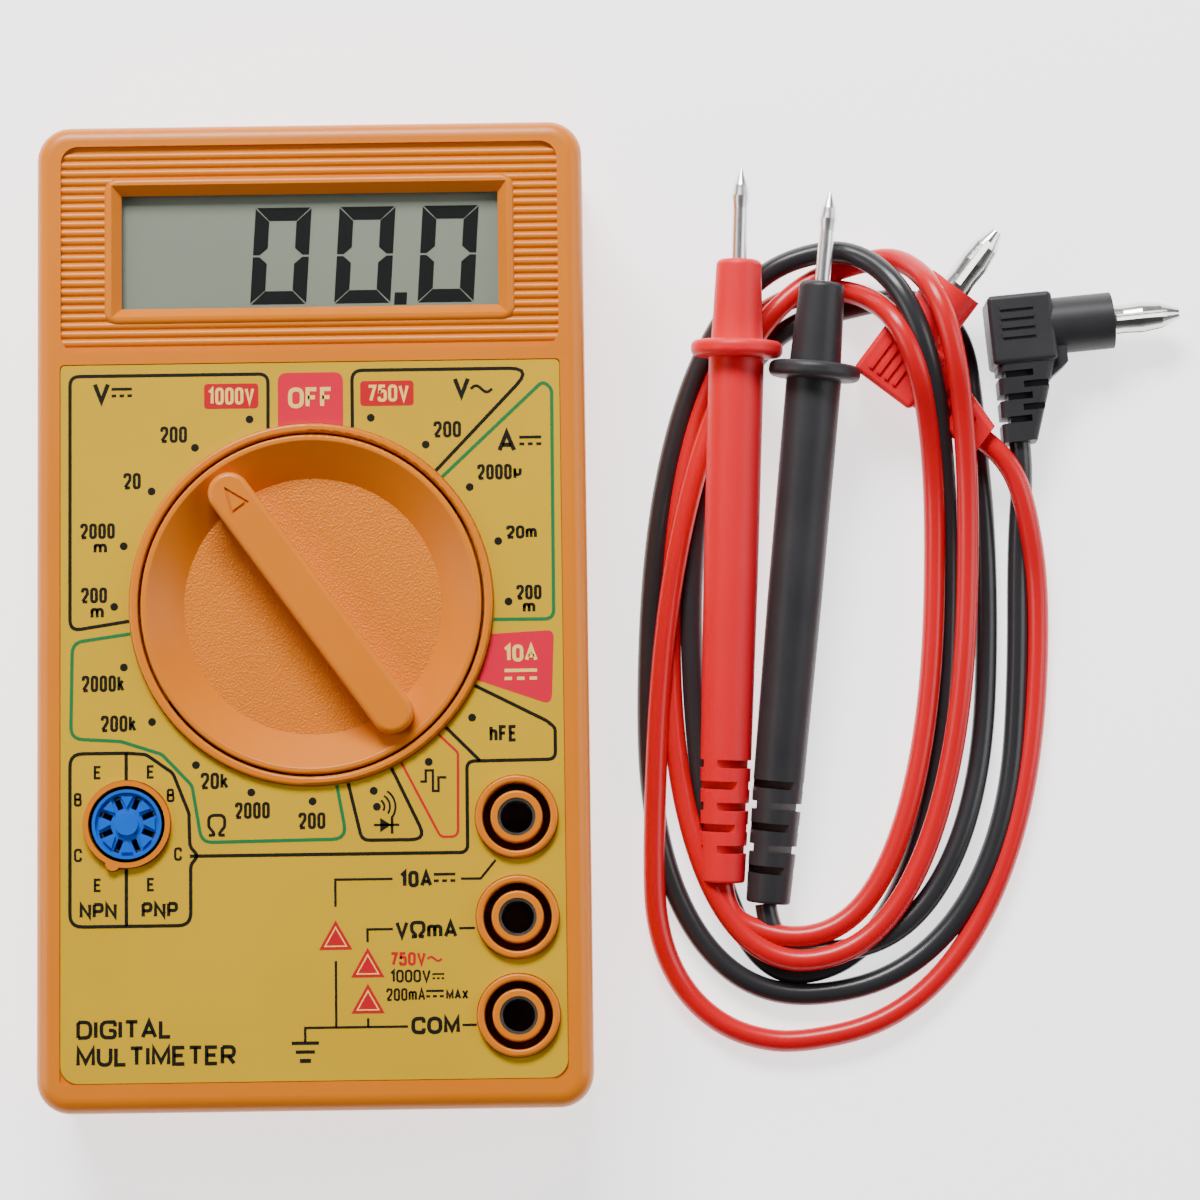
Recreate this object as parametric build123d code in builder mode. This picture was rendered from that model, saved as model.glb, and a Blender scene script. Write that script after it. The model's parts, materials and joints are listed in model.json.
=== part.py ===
from build123d import *
import os
from math import cos, radians, sin

os.makedirs("parts", exist_ok=True)

# A pocket digital multimeter lying on its back, with its pair of test leads beside it.
# Millimetres. +X right, +Y towards the display end, +Z up out of the face; Z0 is the bench.

# Case
case_w, case_h = 70.0, 126.0
corner_r = 4.3
wall = 2.0
floor_z = 1.8
split_z = 12.0
ceiling_z = 23.2
face_z = 25.2
ring_z = 26.0
back_r, edge_r = 2.5, 2.0
seam = 0.3

# Face label, a sticker in a shallow recess, cut round every boss with a small gap
label_w = 63.6
label_bottom, label_top = -59.2, 31.8
label_recess, label_t, label_gap = 0.35, 0.25, 0.12

# Fluted panel, bezel, window and display at the top of the face
panel_w, panel_bottom, panel_top = 63.6, 33.5, 60.2
panel_depth, panel_corner_r = 0.6, 2.2
flute_pitch, flute_r, flute_drop = 1.1, 0.58, 0.3
window_y = 46.55
bezel_w, bezel_h = 52.6, 19.1
bezel_corner_r, bezel_edge_r, bezel_ridge = 1.8, 0.7, 1.0
opening_w, opening_h = 48.3, 14.7
window_w, window_h, window_t = 53.0, 19.5, 1.0
lcd_w, lcd_h, lcd_t = 52.0, 19.0, 1.8

# Selector dial
dial_y = 0.8
boss_r, well_r = 23.05, 21.95
rim_r, rim_z = 21.6, 26.0
disc_r, disc_z = 16.4, 22.3
knob_base_z = 21.1
flange_r, flange_z = 22.9, 22.9
handle_l, handle_w, handle_z = 40.0, 5.4, 28.0
pointer_deg = 36.0
arrow_line = 0.32
positions = 20
detent_r = 24.3
ball_r = 0.95
pivot_r = 1.95

# Printed circuit board
pcb_bottom_z, pcb_top_z = 18.6, 20.1
pcb_w, pcb_bottom, pcb_top = 64.0, -54.0, 60.0
peg_r = 0.8

# Jacks, for 4 mm plugs with a sleeve
jack_x = 25.7
jack_ys = {"jack_10a": -26.5, "jack_vohm_ma": -39.1, "jack_com": -51.4}
jack_boss_r, groove_r, post_r = 5.2, 4.3, 3.3
jack_r, jack_wall = 2.05, 0.3
groove_floor_z, jack_foot_z = 17.6, 9.4

# Transistor socket
socket_x, socket_y = -23.4, -26.8
socket_r, socket_ring_in, socket_ring_out = 4.4, 4.85, 5.5
key_x, key_y, key_r = socket_x - 1.75, socket_y - 4.95, 0.9
socket_pins = 8

# Fasteners: bosses, pilot holes and the pockets that sink the case screws' heads
case_boss_r, case_pilot_r, case_pilot_l = 2.8, 1.3, 9.0
rear_boss_r, rear_hole_r, head_pocket_r, head_pocket_l = 3.3, 1.5, 2.7, 5.0
pcb_boss_r, pcb_pilot_r = 2.5, 0.9
case_screws_at = [(-17.0, -57.4), (17.0, -57.4)]
pcb_screws_at = [(-28.5, 30.2), (28.5, 30.2), (-28.5, -44.0), (9.5, -49.5)]
frame_pegs_at = [(x, y) for x in (-27.7, 27.7) for y in (36.6, 56.5)]
posts_at = [(-29.5, 0.0), (29.5, 0.0), (0.0, -30.0)]

# Battery, a 9 V block lying across the display end
battery_x0, battery_l = -26.0, 46.4
battery_y, battery_w = 45.6, 26.2
battery_z0, battery_z1 = 2.15, 18.35

# Buzzer
buzzer_x, buzzer_y, buzzer_r = -8.0, -12.0, 11.0
buzzer_z = 3.4

# Test leads
cord_r = 1.45
probe_l, needle_out = 82.0, 12.0
collar_s, collar_r, collar_t = 70.2, 6.05, 2.0
probe_end_r = 2.9
plug_half, rib_t = 3.75, 0.3
sleeve_l, sleeve_r, sleeve_in_r = 8.0, 3.75, 3.38
pin_r, pin_tip, pin_slot = 2.0, 17.0, 0.85
relief_u, relief_v = -6.0, -15.2
notch_t = 1.05


def save(part, name):
    """Label one finished piece and write it."""
    part.part.label = name
    export_step(part.part, f"parts/{name}.step")


def polar(radius, angle_deg, x=0.0, y=dial_y):
    """A point round a centre, the dial's unless another is given."""
    return (x + radius * cos(radians(angle_deg)), y + radius * sin(radians(angle_deg)))


# ---------------------------------------------------------------- case
# the bezel's block round the window, rounded along its outer edge, joined to the front case below
with BuildPart() as bezel:
    with BuildSketch(Plane.XY.offset(ceiling_z)):
        with Locations((0, window_y)):
            RectangleRounded(bezel_w, bezel_h, bezel_corner_r)
    extrude(amount=face_z - ceiling_z)
    fillet(bezel.faces().sort_by(Axis.Z)[-1].edges(), bezel_edge_r)

with BuildPart() as front_case:
    with BuildSketch(Plane.XY.offset(split_z)):
        RectangleRounded(case_w, case_h, corner_r)
    extrude(amount=face_z - split_z)
    fillet(front_case.faces().sort_by(Axis.Z)[-1].edges(), edge_r)
    chamfer(front_case.faces().sort_by(Axis.Z)[0].edges(), seam)
    with BuildSketch(Plane.XY.offset(split_z)):
        RectangleRounded(case_w - 2 * wall, case_h - 2 * wall, corner_r - wall)
    extrude(amount=ceiling_z - split_z, mode=Mode.SUBTRACT)
    # recess for the label
    with BuildSketch(Plane.XY.offset(face_z)):
        with Locations((0, (label_top + label_bottom) / 2)):
            RectangleRounded(label_w + 0.2, label_top - label_bottom + 0.2, 0.6)
    extrude(amount=-label_recess, mode=Mode.SUBTRACT)
    # fluted panel: a recess with low rounded ribs along its floor
    with BuildSketch(Plane.XY.offset(face_z)):
        with Locations((0, (panel_top + panel_bottom) / 2)):
            RectangleRounded(panel_w, panel_top - panel_bottom, panel_corner_r)
    extrude(amount=-panel_depth, mode=Mode.SUBTRACT)
    flutes = int((panel_top - panel_bottom - 0.6) / flute_pitch)
    flute_first = (panel_top + panel_bottom) / 2 - (flutes - 1) / 2 * flute_pitch
    flute_axis_z = face_z - panel_depth - flute_drop
    with BuildSketch(Plane.YZ.offset(-panel_w / 2)):
        with Locations(*[(flute_first + i * flute_pitch, flute_axis_z) for i in range(flutes)]):
            Circle(flute_r)
    extrude(amount=panel_w)
    # bezel, its inner faces sloping down to the opening
    add(bezel.part)
    with BuildSketch(Plane.XY.offset(ceiling_z + window_t - 0.3)):
        with Locations((0, window_y)):
            Rectangle(opening_w, opening_h)
    with BuildSketch(Plane.XY.offset(face_z)):
        with Locations((0, window_y)):
            Rectangle(bezel_w - 2 * bezel_ridge, bezel_h - 2 * bezel_ridge)
    loft(mode=Mode.SUBTRACT)
    with BuildSketch(Plane.XY.offset(ceiling_z)):
        with Locations((0, window_y)):
            Rectangle(window_w + 0.4, window_h + 0.4)
    extrude(amount=window_t - 0.3, mode=Mode.SUBTRACT)
    # dial boss and the toothed ring that the detent balls click along
    with BuildSketch(Plane.XY.offset(ceiling_z)):
        with Locations((0, dial_y)):
            Circle(boss_r)
    extrude(amount=ring_z - ceiling_z)
    with BuildSketch(Plane.XY.offset(ceiling_z)):
        with Locations((0, dial_y)):
            Circle(well_r)
    extrude(amount=ring_z - ceiling_z, mode=Mode.SUBTRACT)
    fillet(front_case.faces().filter_by(Axis.Z).sort_by(Axis.Z)[-1].edges(), 0.35)
    with BuildSketch(Plane.XY.offset(ceiling_z)):
        with Locations((0, dial_y)):
            Circle(detent_r + 1.9)
            Circle(detent_r, mode=Mode.SUBTRACT)
            with PolarLocations(detent_r, positions, start_angle=90):
                Circle(0.9, mode=Mode.SUBTRACT)
    extrude(amount=-1.8)
    # jack wells: boss, ring groove for the plug's sleeve, and the post round each jack
    for jack_y in jack_ys.values():
        with BuildSketch(Plane.XY.offset(groove_floor_z - 1)):
            with Locations((jack_x, jack_y)):
                Circle(jack_boss_r)
        extrude(amount=ring_z - groove_floor_z + 1)
        with BuildSketch(Plane.XY.offset(groove_floor_z)):
            with Locations((jack_x, jack_y)):
                Circle(groove_r)
        extrude(amount=ring_z - groove_floor_z, mode=Mode.SUBTRACT)
        with BuildSketch(Plane.XY.offset(jack_foot_z)):
            with Locations((jack_x, jack_y)):
                Circle(post_r)
        extrude(amount=ring_z - 0.3 - jack_foot_z)
        with BuildSketch(Plane.XY.offset(jack_foot_z)):
            with Locations((jack_x, jack_y)):
                Circle(jack_r + jack_wall + 0.05)
        extrude(amount=ring_z - jack_foot_z, mode=Mode.SUBTRACT)
        rims = front_case.edges().filter_by(GeomType.CIRCLE).filter_by(
            lambda e: abs(e.arc_center.Y - jack_y) < 0.1 and abs(e.arc_center.X - jack_x) < 0.1)
        fillet(rims.filter_by(lambda e: e.center().Z > ring_z - 0.4 and e.radius > 3), 0.3)
    # ring round the transistor socket, with its key bump
    with BuildSketch(Plane.XY.offset(ceiling_z)):
        with Locations((socket_x, socket_y)):
            Circle(socket_ring_out)
        with Locations((key_x, key_y)):
            Circle(key_r)
    extrude(amount=ring_z - 0.1 - ceiling_z)
    with BuildSketch(Plane.XY.offset(ceiling_z)):
        with Locations((socket_x, socket_y)):
            Circle(socket_ring_in)
    extrude(amount=ring_z - ceiling_z, mode=Mode.SUBTRACT)
    # screw bosses
    with BuildSketch(Plane.XY.offset(split_z)):
        with Locations(*case_screws_at):
            Circle(case_boss_r)
    extrude(amount=ceiling_z - split_z)
    with BuildSketch(Plane.XY.offset(split_z)):
        with Locations(*case_screws_at):
            Circle(case_pilot_r)
    extrude(amount=case_pilot_l, mode=Mode.SUBTRACT)
    with BuildSketch(Plane.XY.offset(pcb_top_z)):
        with Locations(*pcb_screws_at):
            Circle(pcb_boss_r)
    extrude(amount=ceiling_z - pcb_top_z)
    with BuildSketch(Plane.XY.offset(pcb_top_z)):
        with Locations(*pcb_screws_at):
            Circle(pcb_pilot_r)
    extrude(amount=2.8, mode=Mode.SUBTRACT)
save(front_case, "front_case")

with BuildPart() as rear_case:
    with BuildSketch():
        RectangleRounded(case_w, case_h, corner_r)
    extrude(amount=split_z)
    fillet(rear_case.faces().sort_by(Axis.Z)[0].edges(), back_r)
    chamfer(rear_case.faces().sort_by(Axis.Z)[-1].edges(), seam)
    with BuildSketch(Plane.XY.offset(floor_z)):
        RectangleRounded(case_w - 2 * wall, case_h - 2 * wall, corner_r - wall)
    extrude(amount=split_z - floor_z, mode=Mode.SUBTRACT)
    # ribs that hold the battery, posts that back the board, ring under the buzzer
    with BuildSketch(Plane.XY.offset(floor_z - 0.2)):
        with Locations((-0.4, battery_y - battery_w / 2 - 0.9)):
            Rectangle(52.4, 1.0)
        with Locations((battery_x0 - 0.8, battery_y), (26.2, battery_y)):
            Rectangle(1.0, 25.0)
    extrude(amount=6.4)
    with BuildSketch(Plane.XY.offset(floor_z - 0.2)):
        with Locations(*posts_at):
            Circle(1.8)
    extrude(amount=pcb_bottom_z - floor_z + 0.2)
    with BuildSketch(Plane.XY.offset(floor_z - 0.2)):
        with Locations((buzzer_x, buzzer_y)):
            Circle(buzzer_r + 0.4)
            Circle(buzzer_r - 1.2, mode=Mode.SUBTRACT)
    extrude(amount=buzzer_z - floor_z + 0.2)
    # tongues that hook behind the front case's top wall
    with BuildSketch(Plane.XY.offset(6.0)):
        with Locations((-18, 60.3), (18, 60.3)):
            Rectangle(10.0, 1.2)
    extrude(amount=8.5)
    with BuildSketch(Plane.XY.offset(6.0)):
        with Locations((-18, 60.8), (18, 60.8)):
            Rectangle(10.0, 1.2)
    extrude(amount=split_z - 6.6)
    # screw bosses, open to the back
    with BuildSketch(Plane.XY.offset(floor_z - 0.2)):
        with Locations(*case_screws_at):
            Circle(rear_boss_r)
    extrude(amount=split_z - floor_z + 0.2)
    with BuildSketch():
        with Locations(*case_screws_at):
            Circle(head_pocket_r)
    extrude(amount=head_pocket_l, mode=Mode.SUBTRACT)
    with BuildSketch():
        with Locations(*case_screws_at):
            Circle(rear_hole_r)
    extrude(amount=split_z, mode=Mode.SUBTRACT)
    # sound holes under the buzzer and a shallow panel on the back
    with BuildSketch():
        with Locations((buzzer_x, buzzer_y)):
            with PolarLocations(2.6, 6):
                Circle(0.6)
    extrude(amount=floor_z, mode=Mode.SUBTRACT)
    with BuildSketch():
        with Locations((0, 24)):
            RectangleRounded(52, 44, 2)
    extrude(amount=0.4, mode=Mode.SUBTRACT)
save(rear_case, "rear_case")

with BuildPart() as face_label:
    with BuildSketch(Plane.XY.offset(face_z - label_recess)) as label_outline:
        with Locations((0, (label_top + label_bottom) / 2)):
            Rectangle(label_w, label_top - label_bottom)
        fillet(label_outline.vertices().group_by(Axis.Y)[0], 2.3)
        fillet(label_outline.vertices().group_by(Axis.Y)[-1], 0.6)
        with Locations((0, dial_y)):
            Circle(boss_r + label_gap, mode=Mode.SUBTRACT)
        with Locations(*[(jack_x, y) for y in jack_ys.values()]):
            Circle(jack_boss_r + label_gap, mode=Mode.SUBTRACT)
        with Locations((socket_x, socket_y)):
            Circle(socket_ring_out + label_gap, mode=Mode.SUBTRACT)
        with Locations((key_x, key_y)):
            Circle(key_r + label_gap, mode=Mode.SUBTRACT)
    extrude(amount=label_t)
save(face_label, "face_label")

# ---------------------------------------------------------------- display
with BuildPart() as display_window:
    with BuildSketch(Plane.XY.offset(ceiling_z - 0.3)):
        with Locations((0, window_y)):
            Rectangle(window_w, window_h)
    extrude(amount=window_t)
save(display_window, "display_window")

lcd_bottom_z = ceiling_z - 0.45 - lcd_t
with BuildPart() as lcd_panel:
    with BuildSketch(Plane.XY.offset(lcd_bottom_z)):
        with Locations((0, window_y)):
            Rectangle(lcd_w, lcd_h)
    extrude(amount=lcd_t)
save(lcd_panel, "lcd_panel")

with BuildPart() as zebra_strips:
    with BuildSketch(Plane.XY.offset(pcb_top_z)):
        with Locations((0, window_y - 7.9), (0, window_y + 7.9)):
            Rectangle(46.0, 2.0)
    extrude(amount=lcd_bottom_z - pcb_top_z)
save(zebra_strips, "zebra_strips")

with BuildPart() as lcd_frame:
    with BuildSketch(Plane.XY.offset(pcb_top_z)):
        with Locations((0, window_y)):
            RectangleRounded(58.4, 23.4, 1.0)
            Rectangle(lcd_w + 0.3, lcd_h + 0.3, mode=Mode.SUBTRACT)
    extrude(amount=ceiling_z - 0.4 - pcb_top_z)
    with BuildSketch(Plane.XY.offset(pcb_top_z)):
        with Locations(*frame_pegs_at):
            Circle(peg_r)
    extrude(amount=-2.2)
save(lcd_frame, "lcd_frame")

# ---------------------------------------------------------------- selector
bar_dir = 90.0 + pointer_deg
with BuildPart() as selector_knob:
    with BuildSketch(Plane.XZ.offset(-dial_y)):
        with BuildLine():
            Polyline(
                (0, knob_base_z), (flange_r, knob_base_z), (flange_r, flange_z), (rim_r, flange_z),
                (rim_r, rim_z), (rim_r - 0.7, rim_z), (disc_r, disc_z), (0, disc_z), (0, knob_base_z))
        make_face()
    revolve(axis=Axis((0, dial_y, 0), (0, 0, 1)))
    rim_edges = selector_knob.edges().filter_by(GeomType.CIRCLE).group_by(Axis.Z)[-1]
    fillet(rim_edges, 0.3)
    # handle bar, its ends over the dish's cone
    with BuildSketch(Plane.XY.offset(disc_z - 0.6)):
        with Locations(Location((0, dial_y), bar_dir)):
            SlotOverall(handle_l, handle_w)
    extrude(amount=handle_z - disc_z + 0.6)
    fillet(selector_knob.faces().sort_by(Axis.Z)[-1].edges(), 0.7)
    # engraved outline of an arrowhead near the pointing end
    with BuildSketch(Plane.XY.offset(handle_z)):
        for shrink, mode in ((0.0, Mode.ADD), (arrow_line, Mode.SUBTRACT)):
            with BuildLine():
                Polyline(
                    polar(18.3 - 2.6 * shrink, bar_dir), polar(14.9 + shrink, bar_dir + 5.6 - 6.4 * shrink),
                    polar(14.9 + shrink, bar_dir - 5.6 + 6.4 * shrink), polar(18.3 - 2.6 * shrink, bar_dir))
            make_face(mode=mode)
    extrude(amount=-0.3, mode=Mode.SUBTRACT)
    # pockets for the detent balls and springs, open underneath
    with BuildSketch(Plane.XY.offset(knob_base_z)):
        with Locations(Location((0, dial_y), bar_dir + 90)):
            with Locations((20.95, 0), (-20.95, 0)):
                Rectangle(3.9 + 1.2, 2.3)
    extrude(amount=2.2, mode=Mode.SUBTRACT)
    # pivot that turns in the board
    with BuildSketch(Plane.XY.offset(knob_base_z)):
        with Locations((0, dial_y)):
            Circle(pivot_r)
    extrude(amount=pcb_bottom_z - 0.4 - knob_base_z)
save(selector_knob, "selector_knob")

ball_z = pcb_top_z + 0.9 + ball_r
ball_centre_r = 23.0
ball_dirs = [bar_dir + 90, bar_dir - 90]
with BuildPart() as detent_balls:
    for angle in ball_dirs:
        with Locations((*polar(ball_centre_r, angle), ball_z)):
            Sphere(ball_r)
save(detent_balls, "detent_balls")

spring_wire_r, spring_coil_r, spring_l = 0.14, 0.75, 2.9
with BuildPart() as detent_springs:
    for angle in ball_dirs:
        start = Vector(*polar(18.75, angle), ball_z)
        outward = Vector(cos(radians(angle)), sin(radians(angle)), 0)
        with BuildLine():
            turns = Helix(pitch=0.64, height=spring_l, radius=spring_coil_r, center=start, direction=outward)
        with BuildSketch(Plane(turns @ 0, z_dir=turns % 0)):
            Circle(spring_wire_r)
        sweep(path=turns)
save(detent_springs, "detent_springs")

clip_l, clip_w, clip_t = 6.0, 1.3, 0.22
clip_radii = [6.5, 9.5, 12.5, 8.0, 11.0, 14.0]
with BuildPart() as contact_clips:
    for i, radius in enumerate(clip_radii):
        angle = bar_dir + (0 if i < 3 else 180)
        middle = Vector(*polar(radius, angle), 0)
        outward = Vector(cos(radians(angle)), sin(radians(angle)), 0)
        along = Vector(0, 0, 1).cross(outward)
        with BuildSketch(Plane(middle, x_dir=along, z_dir=outward)):
            with BuildLine():
                Polyline(
                    (-clip_l / 2, knob_base_z), (-clip_l / 2, knob_base_z - clip_t),
                    (0, pcb_top_z + 0.1), (clip_l / 2, knob_base_z - clip_t), (clip_l / 2, knob_base_z),
                    (0, pcb_top_z + 0.1 + 1.2 * clip_t), (-clip_l / 2, knob_base_z))
            make_face()
        extrude(amount=clip_w / 2, both=True)
save(contact_clips, "contact_clips")

# ---------------------------------------------------------------- circuit board and its parts
with BuildPart() as pcb:
    with BuildSketch(Plane.XY.offset(pcb_bottom_z)):
        with Locations((0, (pcb_top + pcb_bottom) / 2)):
            RectangleRounded(pcb_w, pcb_top - pcb_bottom, 1.0)
        with Locations((0, dial_y)):
            Circle(pivot_r + 0.06, mode=Mode.SUBTRACT)
        with Locations(*[(jack_x, y) for y in jack_ys.values()]):
            Circle(jack_boss_r + 0.3, mode=Mode.SUBTRACT)
        with Locations(*pcb_screws_at):
            Circle(1.1, mode=Mode.SUBTRACT)
        with Locations(*frame_pegs_at):
            Circle(peg_r + 0.1, mode=Mode.SUBTRACT)
    extrude(amount=pcb_top_z - pcb_bottom_z)
save(pcb, "pcb")

blob_x, blob_y, blob_r, blob_t = 0.0, 24.0, 5.5, 1.4
with BuildPart() as chip_blob:
    with BuildSketch(Plane.XZ.offset(-blob_y)):
        with BuildLine():
            ThreePointArc((0, pcb_bottom_z - blob_t), (blob_r * 0.6, pcb_bottom_z - blob_t * 0.72),
                          (blob_r, pcb_bottom_z))
            Polyline((blob_r, pcb_bottom_z), (0, pcb_bottom_z), (0, pcb_bottom_z - blob_t))
        make_face()
    revolve(axis=Axis((blob_x, blob_y, 0), (0, 0, 1)))
save(chip_blob, "chip_blob")

fuse_x, fuse_y, fuse_z, fuse_l = -8.0, -46.8, 14.4, 20.0
with BuildPart() as fuse_glass:
    with BuildSketch(Plane.YZ.offset(fuse_x - fuse_l / 2 + 5.0)):
        with Locations((fuse_y, fuse_z)):
            Circle(2.3)
    extrude(amount=fuse_l - 10.0)
save(fuse_glass, "fuse_glass")

with BuildPart() as fuse_caps:
    for end in (fuse_x - fuse_l / 2, fuse_x + fuse_l / 2 - 5.0):
        with BuildSketch(Plane.YZ.offset(end)):
            with Locations((fuse_y, fuse_z)):
                Circle(2.55)
        extrude(amount=5.0)
save(fuse_caps, "fuse_caps")

with BuildPart() as fuse_clips:
    for end in (fuse_x - fuse_l / 2 + 1.2, fuse_x + fuse_l / 2 - 3.8):
        with BuildSketch(Plane.YZ.offset(end)):
            with Locations((fuse_y, fuse_z)):
                Circle(3.0)
                Circle(2.6, mode=Mode.SUBTRACT)
            with Locations((fuse_y, fuse_z - 2.8)):
                Rectangle(3.6, 2.0, mode=Mode.SUBTRACT)
            with Locations((fuse_y, (fuse_z + 2.7 + pcb_bottom_z) / 2)):
                Rectangle(2.4, pcb_bottom_z - fuse_z - 2.7)
        extrude(amount=2.6)
save(fuse_clips, "fuse_clips")

shunt_x, shunt_r = 15.6, 0.8
with BuildPart() as shunt_wire:
    with BuildLine():
        shunt_path = FilletPolyline(
            (shunt_x, -28.0, pcb_bottom_z), (shunt_x, -28.0, 13.0), (shunt_x, -46.5, 13.0),
            (shunt_x, -46.5, pcb_bottom_z), radius=2.4)
    with BuildSketch(Plane(shunt_path @ 0, z_dir=shunt_path % 0)):
        Circle(shunt_r)
    sweep(path=shunt_path)
save(shunt_wire, "shunt_wire")

with BuildPart() as trimmer:
    with Locations((-13, 14, pcb_bottom_z - 1.8)):
        Box(6.4, 6.4, 3.6)
    with Locations((-13, 14, pcb_bottom_z - 3.9)):
        Cylinder(2.1, 0.6)
    with Locations((-13, 14, pcb_bottom_z - 4.1)):
        Box(3.4, 0.6, 0.4, mode=Mode.SUBTRACT)
save(trimmer, "trimmer")

with BuildPart() as capacitors:
    for x, y in [(13.0, 15.0), (19.0, 15.0), (-24.0, 8.0), (22.0, -14.0)]:
        with Locations((x, y, pcb_bottom_z - 3.2)):
            Box(2.6, 7.2, 6.4)
save(capacitors, "capacitors")

resistors_at = [(x, y) for x in (8.0, 12.5, 17.0) for y in (-18.0, -5.0, 4.0)]
resistors_at += [(-24.0, -8.0), (-20.0, 24.0)]
with BuildPart() as resistors:
    for x, y in resistors_at:
        with Locations(Location((x, y, pcb_bottom_z - 1.3), (90, 0, 0))):
            Cylinder(1.0, 4.6)
            Cylinder(0.28, 8.0)
        with Locations((x, y - 3.6, pcb_bottom_z - 0.7), (x, y + 3.6, pcb_bottom_z - 0.7)):
            Cylinder(0.28, 1.4)
save(resistors, "resistors")

with BuildPart() as diodes:
    for x, y in [(-20.0, 17.0), (25.0, 6.0)]:
        with Locations(Location((x, y, pcb_bottom_z - 1.0), (0, 90, 0))):
            Cylinder(0.8, 3.4)
            Cylinder(0.25, 6.4)
        with Locations((x - 3.0, y, pcb_bottom_z - 0.5), (x + 3.0, y, pcb_bottom_z - 0.5)):
            Cylinder(0.25, 1.0)
save(diodes, "diodes")

with BuildPart() as transistors:
    for x, y in [(-25.0, -13.5), (25.0, 18.0)]:
        with BuildSketch(Plane.XY.offset(pcb_bottom_z - 6.2)):
            with Locations((x, y)):
                Circle(2.3)
            with Locations((x, y + 2.4)):
                Rectangle(5.0, 1.8, mode=Mode.SUBTRACT)
        extrude(amount=4.6)
        with BuildSketch(Plane.XY.offset(pcb_bottom_z)):
            with Locations((x - 1.27, y), (x, y), (x + 1.27, y)):
                Circle(0.25)
        extrude(amount=-1.6)
save(transistors, "transistors")

with BuildPart() as piezo_disc:
    with Locations((buzzer_x, buzzer_y, buzzer_z + 0.15)):
        Cylinder(buzzer_r, 0.3)
save(piezo_disc, "piezo_disc")

with BuildPart() as piezo_ceramic:
    with Locations((buzzer_x, buzzer_y, buzzer_z + 0.425)):
        Cylinder(buzzer_r - 3.5, 0.25)
save(piezo_ceramic, "piezo_ceramic")


def wire(points, radius, bend):
    """A round wire along a polyline with rounded corners."""
    with BuildPart() as swept:
        with BuildLine():
            path = FilletPolyline(*points, radius=bend)
        with BuildSketch(Plane(path @ 0, z_dir=path % 0)):
            Circle(radius)
        sweep(path=path)
    return swept


buzzer_wire_routes = [
    [(buzzer_x + 5, buzzer_y, buzzer_z + 0.55), (buzzer_x + 5, buzzer_y, 8.0),
     (4.0, -12.0, 11.0), (4.0, -12.0, pcb_bottom_z)],
    [(buzzer_x + 9.3, buzzer_y - 1.5, buzzer_z + 0.3), (buzzer_x + 9.3, buzzer_y - 1.5, 6.0),
     (5.5, -16.0, 9.0), (5.5, -16.0, pcb_bottom_z)],
]
buzzer_wire_pair = [wire(route, 0.5, 1.4) for route in buzzer_wire_routes]
with BuildPart() as buzzer_wires:
    add([swept.part for swept in buzzer_wire_pair])
save(buzzer_wires, "buzzer_wires")

# ---------------------------------------------------------------- sockets
with BuildPart() as transistor_socket:
    with BuildSketch(Plane.XY.offset(pcb_top_z)):
        with Locations((socket_x, socket_y)):
            Circle(socket_r)
    extrude(amount=face_z - 0.2 - pcb_top_z)
    with BuildSketch(Plane.XY.offset(face_z - 0.3)):
        with Locations((socket_x, socket_y)):
            Circle(socket_r)
            Circle(socket_r - 0.4, mode=Mode.SUBTRACT)
            Circle(1.4)
    extrude(amount=0.75)
    # raised wedges between the slots
    with BuildSketch(Plane.XY.offset(face_z - 0.3)):
        for i in range(socket_pins):
            angle = i * 360 / socket_pins
            with BuildLine():
                Polyline(
                    polar(2.1, angle, socket_x, socket_y), polar(3.6, angle + 12, socket_x, socket_y),
                    polar(3.6, angle - 12, socket_x, socket_y), polar(2.1, angle, socket_x, socket_y))
            make_face()
    extrude(amount=0.5)
    # radial slots for the leads of a transistor
    for i in range(socket_pins):
        angle = (i + 0.5) * 360 / socket_pins
        with BuildSketch(Plane.XY.offset(pcb_top_z)):
            with Locations(Location(polar(2.9, angle, socket_x, socket_y), angle)):
                Rectangle(1.7, 0.75)
        extrude(amount=face_z + 1 - pcb_top_z, mode=Mode.SUBTRACT)
save(transistor_socket, "transistor_socket")

with BuildPart() as socket_contacts:
    for i in range(socket_pins):
        angle = (i + 0.5) * 360 / socket_pins
        with BuildSketch(Plane.XY.offset(pcb_top_z)):
            with Locations(Location(polar(3.5, angle, socket_x, socket_y), angle)):
                Rectangle(0.25, 0.6)
        extrude(amount=face_z - 1.4 - pcb_top_z)
save(socket_contacts, "socket_contacts")

lug_r = jack_boss_r + 0.7
for jack_name, jack_y in jack_ys.items():
    with BuildPart() as jack:
        with BuildSketch(Plane.XY.offset(jack_foot_z - 0.8)):
            with Locations((jack_x, jack_y)):
                Circle(jack_r + jack_wall)
        extrude(amount=face_z + 0.2 - jack_foot_z + 0.8)
        with BuildSketch(Plane.XY.offset(jack_foot_z - 0.8)):
            with Locations((jack_x, jack_y)):
                Circle(post_r)
            with Locations((jack_x - lug_r / 2, jack_y)):
                Rectangle(lug_r, 2.0)
        extrude(amount=0.8)
        with BuildSketch(Plane.XY.offset(jack_foot_z - 0.8)):
            with Locations((jack_x - lug_r - 0.3, jack_y)):
                Rectangle(0.7, 2.0)
        extrude(amount=pcb_bottom_z - jack_foot_z + 0.8)
        with BuildSketch(Plane.XY.offset(jack_foot_z - 0.8)):
            with Locations((jack_x, jack_y)):
                Circle(jack_r)
        extrude(amount=face_z + 1 - jack_foot_z + 0.8, mode=Mode.SUBTRACT)
    save(jack, jack_name)

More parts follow.
